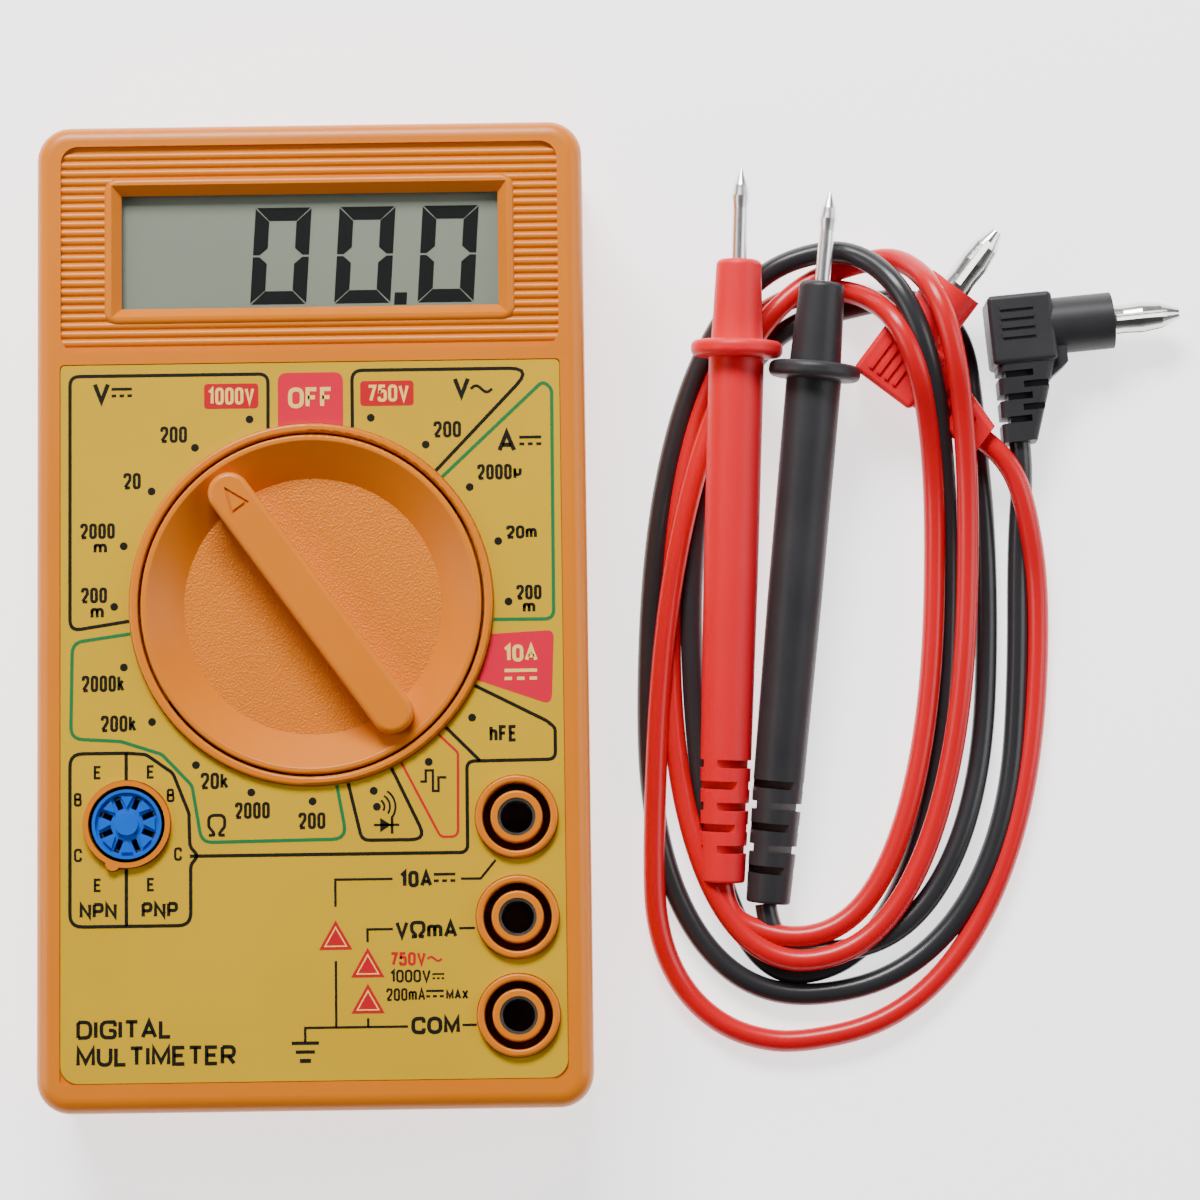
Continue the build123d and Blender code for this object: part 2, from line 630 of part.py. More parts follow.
# ---------------------------------------------------------------- battery
with BuildPart() as battery:
    with BuildSketch(Plane.YZ.offset(battery_x0)):
        with Locations((battery_y, (battery_z0 + battery_z1) / 2)):
            RectangleRounded(battery_w, battery_z1 - battery_z0, 2.0)
    extrude(amount=battery_l)
    terminal_z = (battery_z0 + battery_z1) / 2
    with BuildSketch(Plane.YZ.offset(battery_x0 + battery_l)):
        with Locations((battery_y - 6.35, terminal_z)):
            Circle(2.9)
        with Locations((battery_y + 6.35, terminal_z)):
            RegularPolygon(4.2, 6)
    extrude(amount=2.0)
save(battery, "battery")

snap_x = battery_x0 + battery_l + 2.2
with BuildPart() as battery_snap:
    with BuildSketch(Plane.YZ.offset(snap_x)):
        with Locations((battery_y, terminal_z)):
            RectangleRounded(25.0, 12.0, 2.0)
    extrude(amount=2.6)
save(battery_snap, "battery_snap")

battery_wire_ends = {
    "battery_wire_red": (terminal_z + 2.0, 22.0),
    "battery_wire_black": (terminal_z - 1.0, 18.0),
}
for wire_name, (wire_z, pad_x) in battery_wire_ends.items():
    battery_wire = wire(
        [(snap_x + 2.6, battery_y - 9.0, wire_z), (snap_x + 4.6, battery_y - 9.0, wire_z),
         (snap_x + 4.6, 29.0, wire_z + 0.6), (pad_x, 27.0, wire_z + 1.0), (pad_x, 27.0, pcb_bottom_z)],
        0.6, 0.95)
    save(battery_wire, wire_name)

with BuildPart() as battery_pad:
    with Locations((battery_x0 + battery_l / 2, battery_y, floor_z + 0.15)):
        Box(38.0, 18.0, 0.3)
save(battery_pad, "battery_pad")

# ---------------------------------------------------------------- fasteners


def screws(places, head_z, head_r, head_t, shank_r, shank_l):
    """Cross-recessed pan-head screws driven upwards, their heads' flat sides at head_z."""
    with BuildPart() as group:
        with BuildSketch(Plane.XY.offset(head_z - head_t)):
            with Locations(*places):
                Circle(head_r)
        extrude(amount=head_t)
        with BuildSketch(Plane.XY.offset(head_z)):
            with Locations(*places):
                Circle(shank_r)
        extrude(amount=shank_l)
        with BuildSketch(Plane.XY.offset(head_z - head_t)):
            with Locations(*places):
                Rectangle(head_r * 1.1, 0.5)
                Rectangle(0.5, head_r * 1.1)
        extrude(amount=head_t * 0.55, mode=Mode.SUBTRACT)
    return group


save(screws(case_screws_at, head_pocket_l, 2.4, 1.8, 1.22, 15.0), "case_screws")
save(screws(pcb_screws_at, pcb_bottom_z, 2.0, 1.4, 0.84, 4.1), "pcb_screws")

# ---------------------------------------------------------------- test leads
# Each lead ends in a probe and a right-angle plug. A probe's local Y runs from its cord end to its tip;
# a plug's local X is the pin's direction and its cord leaves towards local -Y.


def lead_plane(start, along):
    """A plane at start whose Y axis points along, with its X axis level."""
    along = Vector(*along).normalized()
    level = Vector(along.Y, -along.X, 0).normalized()
    return Plane(Vector(*start), x_dir=level, z_dir=level.cross(along))


probe_rise = 7.4 / probe_l
probes = {
    "red": lead_plane((52.2, -34.4, probe_end_r + 0.05), (0.041, 1.0, probe_rise)),
    "black": lead_plane((58.1, -37.2, probe_end_r + 0.05), (0.103, 1.0, probe_rise)),
}


def plug_plane(x, y, z, heading, pitch):
    """A plug's plane: its pin points along heading and rises by pitch degrees."""
    turned, tipped = radians(heading), radians(pitch)
    return Plane(
        (x, y, z), x_dir=(cos(turned) * cos(tipped), sin(turned) * cos(tipped), sin(tipped)),
        z_dir=(-cos(turned) * sin(tipped), -sin(turned) * sin(tipped), cos(tipped)))


# The black plug lies flat. The red one rests on a cord that passes under its sleeve and its relief.
plugs = {
    "red": plug_plane(79.4, 37.4, plug_half + rib_t + 2.5, 52, 12),
    "black": plug_plane(97.2, 38.8, plug_half + rib_t + 0.05, 5, 0),
}

probe_slots, probe_slot_first, probe_slot_pitch = 5, 4.4, 2.8
probe_slot_turn = {"red": -42, "black": 55}
probe_web = 1.15
needle_r, needle_root = 1.0, 18.0
for colour, place in probes.items():
    with BuildPart(place) as probe_handle:
        with BuildSketch(place) as handle_profile:
            with BuildLine():
                Polyline(
                    (0, 0), (probe_end_r, 0), (3.35, 16.0), (3.6, 40.0),
                    (3.65, collar_s - collar_t / 2 - 0.2),
                    (collar_r, collar_s - collar_t / 2), (collar_r, collar_s + collar_t / 2),
                    (3.4, collar_s + collar_t / 2 + 0.2), (2.95, probe_l), (0, probe_l), (0, 0))
            make_face()
            fillet(handle_profile.vertices().filter_by(lambda v: v.X > collar_r - 0.1), 0.85)
            fillet(handle_profile.vertices().filter_by(lambda v: v.X > 1 and v.Y > probe_l - 0.1), 0.8)
            fillet(handle_profile.vertices().filter_by(lambda v: v.X > 1 and v.Y < 0.1), 0.4)
        revolve(axis=Axis(place.origin, place.y_dir))
        # strain relief: pairs of deep slots, each a quarter turn from the last
        for i in range(probe_slots):
            with Locations((0, probe_slot_first + probe_slot_pitch * i, 0)):
                with Locations(Location((0, 0, 0), (0, 1, 0), probe_slot_turn[colour] + 90 * (i % 2))):
                    with Locations((probe_web + 2.0, 0, 0), (-probe_web - 2.0, 0, 0)):
                        Box(4.0, notch_t, 8.0, mode=Mode.SUBTRACT)
        # bore for the needle
        with BuildSketch(Plane(place.origin + place.y_dir * (probe_l - needle_root), z_dir=place.y_dir)):
            Circle(needle_r + 0.02)
        extrude(amount=needle_root + 1, mode=Mode.SUBTRACT)
    save(probe_handle, f"{colour}_probe_handle")

    with BuildPart(place) as probe_needle:
        with BuildSketch(place):
            with BuildLine():
                Polyline(
                    (0, probe_l - needle_root), (needle_r, probe_l - needle_root),
                    (needle_r, probe_l + needle_out - 5.2), (1.18, probe_l + needle_out - 3.6),
                    (0.95, probe_l + needle_out - 2.2), (0.12, probe_l + needle_out),
                    (0, probe_l + needle_out), (0, probe_l - needle_root))
            make_face()
        revolve(axis=Axis(place.origin, place.y_dir))
    save(probe_needle, f"{colour}_probe_needle")

web_t, plug_notches = 4.6, 5
relief_ends = {}
for colour, place in plugs.items():
    relief_ends[colour] = place.from_local_coords(Vector(relief_u, relief_v, 0))
    with BuildPart(place) as plug_body:
        # thumb block
        with BuildSketch(place.offset(-plug_half)):
            with Locations((-4.3, -0.35)):
                Rectangle(8.6, 9.3)
        extrude(amount=2 * plug_half)
        fillet(plug_body.edges(), 0.7)
        # strain relief, tapering down to the cord
        with BuildSketch(Plane(place.from_local_coords(Vector(-4.0, -4.0, 0)), x_dir=place.x_dir,
                               z_dir=place.y_dir * -1)):
            RectangleRounded(8.0, 6.9, 1.2)
        with BuildSketch(Plane(relief_ends[colour], x_dir=place.x_dir, z_dir=place.y_dir * -1)):
            RectangleRounded(4.6, 4.6, 0.9)
        loft()
        # sleeve, hollow round the pin
        sleeve_plane = Plane(place.from_local_coords(Vector(-1, 0, 0)), z_dir=place.x_dir)
        with BuildSketch(sleeve_plane):
            Circle(sleeve_r)
        extrude(amount=sleeve_l + 1)
        with BuildSketch(sleeve_plane.offset(2)):
            Circle(sleeve_in_r)
        extrude(amount=sleeve_l, mode=Mode.SUBTRACT)
        with BuildSketch(sleeve_plane.offset(-3)):
            Circle(pin_r + 0.05)
        extrude(amount=6, mode=Mode.SUBTRACT)
        # web between the sleeve and the strain relief
        with BuildSketch(place.offset(-web_t / 2)):
            with BuildLine():
                Polyline((-3, -2), (1.4, -2), (1.4, -5.2), (0.4, -6.0), (-1.8, -7.6), (-3, -7.6), (-3, -2))
            make_face()
        extrude(amount=web_t)
        # grip ribs on both flats
        for side in (-1, 1):
            with Locations(*[(-4.9, 2.5 - 1.25 * i, side * plug_half) for i in range(4)]):
                Box(4.4, 0.55, 2 * rib_t)
        # notches that let the strain relief bend: from alternate sides, all the way down it
        for i in range(plug_notches):
            v = -6.3 - 1.5 * i
            centre_u = -4.1 - 0.18 * i
            half_u, half_w = 4.0 - 0.2 * i, 3.4 - 0.14 * i
            side = 1 if i % 2 else -1
            for w_side in (-1, 1):
                with Locations((centre_u + side * half_u / 2, v, w_side * half_w)):
                    Box(half_u + 1.2, notch_t - 0.2, 2.2, mode=Mode.SUBTRACT)
            with Locations((centre_u + side * half_u, v, 0)):
                Box(2.0, notch_t - 0.2, 8.0, mode=Mode.SUBTRACT)
    save(plug_body, f"{colour}_plug_body")

    with BuildPart(place) as plug_pin:
        with BuildSketch(place):
            with BuildLine():
                Polyline(
                    (-4, 0), (-4, pin_r), (sleeve_l - 0.5, pin_r), (sleeve_l + 1.5, pin_r - 0.15),
                    (sleeve_l + 4.0, pin_r), (sleeve_l + 6.6, pin_r - 0.3), (pin_tip, 0.7), (pin_tip, 0),
                    (-4, 0))
            make_face()
        revolve(axis=Axis(place.origin, place.x_dir))
        for turn in (0, 90):
            with Locations(Location((sleeve_l + 3.9, 0, 0), (1, 0, 0), turn)):
                Box(6.8, pin_slot, 2 * pin_r + 1, mode=Mode.SUBTRACT)
    save(plug_pin, f"{colour}_plug_pin")

# The cords lie wound together in one loose oval hank on the bench. Its solid is the oval's outer shape,
# humped over the red plug, and it reaches each probe and plug where the cord enters it.
hank_t, hump_t, stub_l = 6.2, 14.6, 8.0
outer_points = [
    (68.0, 50.9), (79.5, 47.5), (84.8, 36.0), (88.5, 22.2), (95.8, 12.0), (96.6, -10.0), (94.0, -30.0),
    (87.0, -46.0), (74.0, -56.2), (61.0, -57.4), (48.5, -49.5), (41.3, -34.0), (40.9, -10.0), (41.3, 12.0),
    (43.5, 30.0), (52.0, 44.5)]
inner_points = [
    (66.0, 38.6), (73.0, 35.5), (78.2, 24.0), (79.2, 5.0), (78.6, -10.0), (76.0, -26.5), (70.0, -37.5),
    (62.0, -41.2), (55.0, -40.0), (50.4, -33.0), (49.9, -15.0), (49.8, 5.0), (51.2, 20.0), (55.5, 33.0)]
with BuildPart() as lead_hank:
    with BuildSketch() as hank_outline:
        with BuildLine():
            Spline(*outer_points, periodic=True)
        make_face()
        with BuildLine(mode=Mode.PRIVATE) as hole_line:
            Spline(*inner_points, periodic=True)
        make_face(hole_line.edges(), mode=Mode.SUBTRACT)
    extrude(amount=hank_t)
    with BuildSketch() as hump_outline:
        add(hank_outline.sketch)
        with Locations((82.0, 35.0)):
            Circle(14.5, mode=Mode.INTERSECT)
    extrude(amount=hump_t)
    # room for each probe and its collar, then the cord's last stretch up to the probe's end
    for place in probes.values():
        with BuildSketch(Plane(place.origin - place.y_dir * 0.3, z_dir=place.y_dir)):
            Circle(collar_r - 2.0)
        extrude(amount=probe_l + needle_out, mode=Mode.SUBTRACT)
        with BuildSketch(Plane(place.origin + place.y_dir * (collar_s - collar_t), z_dir=place.y_dir)):
            Circle(collar_r + 0.4)
        extrude(amount=2 * collar_t, mode=Mode.SUBTRACT)
        with BuildSketch(Plane(place.origin, z_dir=place.y_dir * -1)):
            Circle(cord_r)
        extrude(amount=stub_l)
    # room for each plug under and beside the cords, then the cord's last stretch up to its relief
    for colour, place in plugs.items():
        with BuildSketch(place.offset(-plug_half - 1)):
            with Locations((-3.8, -5.4)):
                Rectangle(10.8, 20.4)
            with Locations((4.2, 0)):
                Rectangle(8.8, 2 * sleeve_r + 0.8)
            with Locations((pin_tip - 4.0, 0)):
                Rectangle(10.0, 2 * pin_r + 0.8)
        extrude(amount=2 * plug_half + 1.7, mode=Mode.SUBTRACT)
        with BuildSketch(Plane(relief_ends[colour], z_dir=place.y_dir * -1)):
            Circle(cord_r)
        extrude(amount=stub_l)
save(lead_hank, "lead_hank")
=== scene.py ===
import json
from math import cos, pi, radians, sin

import bmesh
import bpy
from mathutils import Matrix, Vector


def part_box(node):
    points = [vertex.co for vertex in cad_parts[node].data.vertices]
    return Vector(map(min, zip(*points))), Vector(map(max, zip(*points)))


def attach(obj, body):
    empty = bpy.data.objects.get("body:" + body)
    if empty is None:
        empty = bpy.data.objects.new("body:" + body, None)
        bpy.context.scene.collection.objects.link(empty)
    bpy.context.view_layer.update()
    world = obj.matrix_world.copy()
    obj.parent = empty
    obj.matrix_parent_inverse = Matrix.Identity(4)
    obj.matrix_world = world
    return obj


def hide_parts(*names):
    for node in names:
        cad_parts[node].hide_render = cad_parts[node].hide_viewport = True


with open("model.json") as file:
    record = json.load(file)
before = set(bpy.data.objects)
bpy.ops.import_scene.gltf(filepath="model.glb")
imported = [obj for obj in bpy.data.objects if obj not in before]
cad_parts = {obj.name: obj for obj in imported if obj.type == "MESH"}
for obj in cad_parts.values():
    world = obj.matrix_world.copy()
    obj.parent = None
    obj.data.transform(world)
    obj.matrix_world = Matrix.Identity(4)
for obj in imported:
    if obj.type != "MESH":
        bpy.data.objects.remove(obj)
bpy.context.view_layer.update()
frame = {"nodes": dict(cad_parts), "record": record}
nodes = frame["nodes"]

MM = 0.001


# ---------------------------------------------------------------- places taken from the frame
lcd_low, lcd_high = (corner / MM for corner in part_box("lcd_panel"))
PRINT_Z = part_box("face_label")[1].z / MM
BOSS_R = 23.05
PIVOT = (0.0, 0.8)

# Test leads: where each plug lies, as in the CAD
CORD_R = 1.45
PLUGS = {"red": ((79.4, 37.4, 6.55), 52, 12), "black": ((97.2, 38.8, 4.1), 5, 0)}
RELIEF_END = (-6.0, -15.2)


# ---------------------------------------------------------------- materials
def principled(name, colour, second=None, rough=0.4, metallic=0.0, mottle=60, mottle_mix=0.5, grain=1500,
               bump=0.1, bump_mm=0.02, rough_spread=0.08, coat=0.0, subsurface=0.0, alpha=1.0, specular=0.5):
    """A procedural material: two mottled tones, fine grain bump and uneven roughness."""
    mat = bpy.data.materials.new(name)
    mat.use_nodes = True
    tree = mat.node_tree
    shader = tree.nodes["Principled BSDF"]
    add, link = tree.nodes.new, tree.links.new
    where = add("ShaderNodeTexCoord").outputs["Object"]
    cloud = add("ShaderNodeTexNoise")
    cloud.inputs["Scale"].default_value = mottle
    cloud.inputs["Detail"].default_value = 4
    link(where, cloud.inputs["Vector"])
    tones = add("ShaderNodeMix")
    tones.data_type = "RGBA"
    tones.inputs[6].default_value = (*colour, 1)
    tones.inputs[7].default_value = (*(second or [c * 0.82 for c in colour]), 1)
    spread = add("ShaderNodeMapRange")
    spread.inputs["From Min"].default_value = 0.3
    spread.inputs["From Max"].default_value = 0.7
    spread.inputs["To Max"].default_value = mottle_mix
    link(cloud.outputs["Fac"], spread.inputs["Value"])
    link(spread.outputs["Result"], tones.inputs["Factor"])
    link(tones.outputs[2], shader.inputs["Base Color"])
    fine = add("ShaderNodeTexNoise")
    fine.inputs["Scale"].default_value = grain
    fine.inputs["Detail"].default_value = 3
    link(where, fine.inputs["Vector"])
    uneven = add("ShaderNodeMapRange")
    uneven.inputs["To Min"].default_value = max(0.02, rough - rough_spread)
    uneven.inputs["To Max"].default_value = rough + rough_spread
    link(fine.outputs["Fac"], uneven.inputs["Value"])
    link(uneven.outputs["Result"], shader.inputs["Roughness"])
    if bump:
        relief = add("ShaderNodeBump")
        relief.inputs["Strength"].default_value = bump
        relief.inputs["Distance"].default_value = bump_mm * MM
        link(fine.outputs["Fac"], relief.inputs["Height"])
        link(relief.outputs["Normal"], shader.inputs["Normal"])
    shader.inputs["Metallic"].default_value = metallic
    shader.inputs["Specular IOR Level"].default_value = specular
    shader.inputs["Coat Weight"].default_value = coat
    shader.inputs["Coat Roughness"].default_value = 0.12
    if subsurface:
        shader.inputs["Subsurface Weight"].default_value = subsurface
        shader.inputs["Subsurface Radius"].default_value = (1.0, 0.4, 0.2)
        shader.inputs["Subsurface Scale"].default_value = 0.002
    shader.inputs["Alpha"].default_value = alpha
    return mat


DISH_FLOOR_Z, DISH_FLOOR_FADE = 22.32, 0.03
GRIT_SCALE, GRIT_STRENGTH, GRIT_MM = 3600, 0.75, 0.09


def knob_plastic():
    """The case's orange, with a coarse grain on the dish's flat floor only."""
    mat = principled("knob_orange", ORANGE, ORANGE_DEEP, rough=0.38, mottle=90, grain=2600, bump=0.12,
                     specular=0.35)
    tree = mat.node_tree
    add, link = tree.nodes.new, tree.links.new
    shader = tree.nodes["Principled BSDF"]
    split = add("ShaderNodeSeparateXYZ")
    link(tree.nodes["Texture Coordinate"].outputs["Object"], split.inputs["Vector"])
    floor_only = add("ShaderNodeMapRange")
    floor_only.inputs["From Min"].default_value = (DISH_FLOOR_Z + DISH_FLOOR_FADE) * MM
    floor_only.inputs["From Max"].default_value = DISH_FLOOR_Z * MM
    link(split.outputs["Z"], floor_only.inputs["Value"])
    grit = add("ShaderNodeTexVoronoi")
    grit.inputs["Scale"].default_value = GRIT_SCALE
    link(tree.nodes["Texture Coordinate"].outputs["Object"], grit.inputs["Vector"])
    height = add("ShaderNodeMath")
    height.operation = "MULTIPLY"
    link(grit.outputs["Distance"], height.inputs[0])
    link(floor_only.outputs["Result"], height.inputs[1])
    relief = add("ShaderNodeBump")
    relief.inputs["Strength"].default_value = GRIT_STRENGTH
    relief.inputs["Distance"].default_value = GRIT_MM * MM
    link(height.outputs["Value"], relief.inputs["Height"])
    link(tree.nodes["Bump"].outputs["Normal"], relief.inputs["Normal"])
    link(relief.outputs["Normal"], shader.inputs["Normal"])
    return mat


ORANGE, ORANGE_DEEP = (0.66, 0.178, 0.001), (0.60, 0.150, 0.0008)
GOLD, GOLD_DEEP = (0.59, 0.355, 0.004), (0.53, 0.31, 0.003)
LEAD_RED, LEAD_BLACK = (0.80, 0.004, 0.018), (0.022, 0.022, 0.025)

materials = {
    "case": principled("case_orange", ORANGE, ORANGE_DEEP, rough=0.36, mottle=70, grain=2400, bump=0.15,
                       specular=0.35),
    "label": principled("label_gold", GOLD, GOLD_DEEP, rough=0.42, mottle=45, grain=1800, bump=0.08,
                        mottle_mix=0.6, specular=0.25),
    "window": principled("window_clear", (0.05, 0.06, 0.05), rough=0.05, grain=300, bump=0.0, alpha=0.05,
                         rough_spread=0.02, specular=0.2),
    "lcd": principled("lcd_grey_green", (0.235, 0.265, 0.205), (0.215, 0.24, 0.185), rough=0.35, mottle=40,
                      grain=3000, bump=0.03),
    "frame_plastic": principled("frame_white", (0.8, 0.8, 0.76), rough=0.5, grain=1500),
    "elastomer": principled("zebra_pink", (0.4, 0.12, 0.14), (0.06, 0.05, 0.05), rough=0.6, mottle=900),
    "circuit_board": principled("solder_mask", (0.03, 0.2, 0.07), (0.06, 0.27, 0.10), rough=0.3, mottle=300,
                                grain=900, bump=0.2, coat=0.3),
    "nickel": principled("nickel", (0.78, 0.77, 0.74), (0.66, 0.65, 0.62), rough=0.24, metallic=1.0,
                         grain=2500, bump=0.08, rough_spread=0.06),
    "steel": principled("steel", (0.86, 0.86, 0.86), (0.74, 0.74, 0.75), rough=0.33, metallic=1.0, grain=2200,
                        bump=0.1),
    "brass": principled("brass", (0.78, 0.55, 0.2), (0.62, 0.42, 0.15), rough=0.28, metallic=1.0, grain=1800),
    "copper_wire": principled("shunt_copper", (0.72, 0.42, 0.22), rough=0.3, metallic=1.0, grain=1500),
    "epoxy": principled("epoxy_black", (0.015, 0.015, 0.018), (0.03, 0.03, 0.032), rough=0.12, coat=0.5),
    "fuse_glass": principled("fuse_glass", (0.93, 0.96, 0.95), rough=0.06, bump=0.02, alpha=0.25),
    "ceramic": principled("ceramic_cream", (0.84, 0.8, 0.68), rough=0.5, mottle=500, grain=3000),
    "component_blue": principled("component_blue", (0.04, 0.18, 0.55), rough=0.35, grain=1600),
    "resistor_body": principled("resistor_tan", (0.68, 0.5, 0.28), rough=0.35, grain=1600),
    "semiconductor": principled("package_black", (0.025, 0.025, 0.027), rough=0.55, grain=2400),
    "socket_blue": principled("socket_blue", (0.001, 0.105, 0.60), (0.001, 0.085, 0.48), rough=0.3,
                              mottle=300, grain=2500, bump=0.1, coat=0.2),
    "battery_jacket": principled("battery_jacket", (0.09, 0.1, 0.12), (0.13, 0.14, 0.16), rough=0.3,
                                 metallic=0.6),
    "black_plastic": principled("moulded_black", (0.025, 0.025, 0.027), rough=0.5),
    "foam": principled("foam_black", (0.05, 0.05, 0.05), rough=0.9, grain=700, bump=0.8, bump_mm=0.1),
    "red_wire": principled("wire_red", (0.6, 0.02, 0.02), rough=0.35),
    "black_wire": principled("wire_black", (0.02, 0.02, 0.02), rough=0.35),
    "lead_red": principled("lead_red", LEAD_RED, (0.74, 0.003, 0.014), rough=0.46, mottle=120, grain=2200,
                           bump=0.12, subsurface=0.15, specular=0.35),
    "lead_black": principled("lead_black", LEAD_BLACK, (0.04, 0.04, 0.043), rough=0.44, mottle=120,
                             grain=2200, bump=0.12, specular=0.3),
}
cord_red = principled("cord_red", (0.64, 0.001, 0.009), (0.57, 0.001, 0.007), rough=0.30, mottle=80,
                      bump=0.0, rough_spread=0.02, specular=0.4)
cord_black = principled("cord_black", (0.022, 0.022, 0.025), (0.032, 0.032, 0.035), rough=0.30, mottle=80,
                        bump=0.0, rough_spread=0.02, specular=0.4)


def clothe(obj, mat):
    """Give every slot of a CAD node one material."""
    if not obj.material_slots:
        obj.data.materials.append(mat)
    for slot in obj.material_slots:
        slot.material = mat


for part in frame["record"]["subparts"]:
    if part["material_slot"] in materials:
        clothe(nodes[part["node"]], materials[part["material_slot"]])
clothe(nodes["selector_knob"], knob_plastic())


# ---------------------------------------------------------------- print on the label
# Each ink is one thin raised piece. Shapes are laid out in millimetres on the label's own X and Y.
INK_T, INK_SINK = 0.03, 0.01
LINE_W = 0.43
SAME_POINT = 0.01
RING_R = BOSS_R + 0.15
DOT_R, DOTS_AT_R = 0.5, 25.0
inks = {name: bmesh.new() for name in ("black", "red", "pink", "green", "cream")}


def ring_point(angle, radius=RING_R):
    return (PIVOT[0] + radius * cos(radians(angle)), PIVOT[1] + radius * sin(radians(angle)))


def ring_arc(start, end, steps=16):
    return [ring_point(start + (end - start) * i / steps) for i in range(steps + 1)]


def disc(x, y, radius, steps=20):
    turn = 2 * pi / steps
    return [(x + radius * cos(i * turn), y + radius * sin(i * turn)) for i in range(steps)]


def slab(ink, outline):
    """A filled outline with a little thickness."""
    mesh = inks[ink]
    low, high = (PRINT_Z - INK_SINK) * MM, (PRINT_Z + INK_T) * MM
    tops = [mesh.verts.new((x * MM, y * MM, high)) for x, y in outline]
    feet = [mesh.verts.new((x * MM, y * MM, low)) for x, y in outline]
    mesh.faces.new(tops)
    mesh.faces.new(feet[::-1])
    for i in range(len(outline)):
        j = (i + 1) % len(outline)
        mesh.faces.new((tops[j], tops[i], feet[i], feet[j]))


def rounded(points, radius, closed=False):
    """The points with each corner, the ends apart unless closed, replaced by an arc."""
    count = len(points)
    out = []
    for i, point in enumerate(points):
        if not closed and i in (0, count - 1):
            out.append(point)
            continue
        here = Vector(point)
        before, after = Vector(points[i - 1]) - here, Vector(points[(i + 1) % count]) - here
        half = before.angle(after) / 2
        reach = min(radius / max(0.01, abs(sin(half) / cos(half))), before.length * 0.5, after.length * 0.5)
        a, b = here + before.normalized() * reach, here + after.normalized() * reach
        for k in range(6):
            t = k / 5
            out.append(tuple(a * (1 - t) ** 2 + here * 2 * t * (1 - t) + b * t * t))
    return out


def ribbon(ink, points, width=LINE_W, closed=False, lift=0.0):
    """A line of even width along points."""
    places = []
    for point in points:
        if not places or (Vector(point) - places[-1]).length > SAME_POINT:
            places.append(Vector(point))
    if closed and (places[0] - places[-1]).length < SAME_POINT:
        places.pop()
    count = len(places)
    left, right = [], []
    for i, here in enumerate(places):
        arriving = here - places[i - 1] if i or closed else places[1] - here
        leaving = places[(i + 1) % count] - here if i < count - 1 or closed else here - places[i - 1]
        a, b = arriving.normalized(), leaving.normalized()
        middle = (a + b).normalized()
        across = Vector((-middle.y, middle.x)) * (width / 2 / max(0.4, middle.dot(a)))
        left.append(here + across)
        right.append(here - across)
    mesh = inks[ink]
    low, high = (PRINT_Z + lift - INK_SINK) * MM, (PRINT_Z + lift + INK_T) * MM
    rows = [[mesh.verts.new((p.x * MM, p.y * MM, z)) for p in side]
            for side in (left, right) for z in (high, low)]
    top_l, foot_l, top_r, foot_r = rows
    for i in range(count if closed else count - 1):
        j = (i + 1) % count
        mesh.faces.new((top_l[i], top_r[i], top_r[j], top_l[j]))
        mesh.faces.new((foot_l[j], foot_r[j], foot_r[i], foot_l[i]))
        mesh.faces.new((top_l[j], foot_l[j], foot_l[i], top_l[i]))
        mesh.faces.new((top_r[i], foot_r[i], foot_r[j], top_r[j]))
    if not closed:
        mesh.faces.new((top_l[0], foot_l[0], foot_r[0], top_r[0]))
        mesh.faces.new((top_r[-1], foot_r[-1], foot_l[-1], top_l[-1]))


def pill(ink, x0, y0, x1, y1, radius=0.5):
    slab(ink, rounded([(x0, y0), (x1, y0), (x1, y1), (x0, y1)], radius, closed=True))


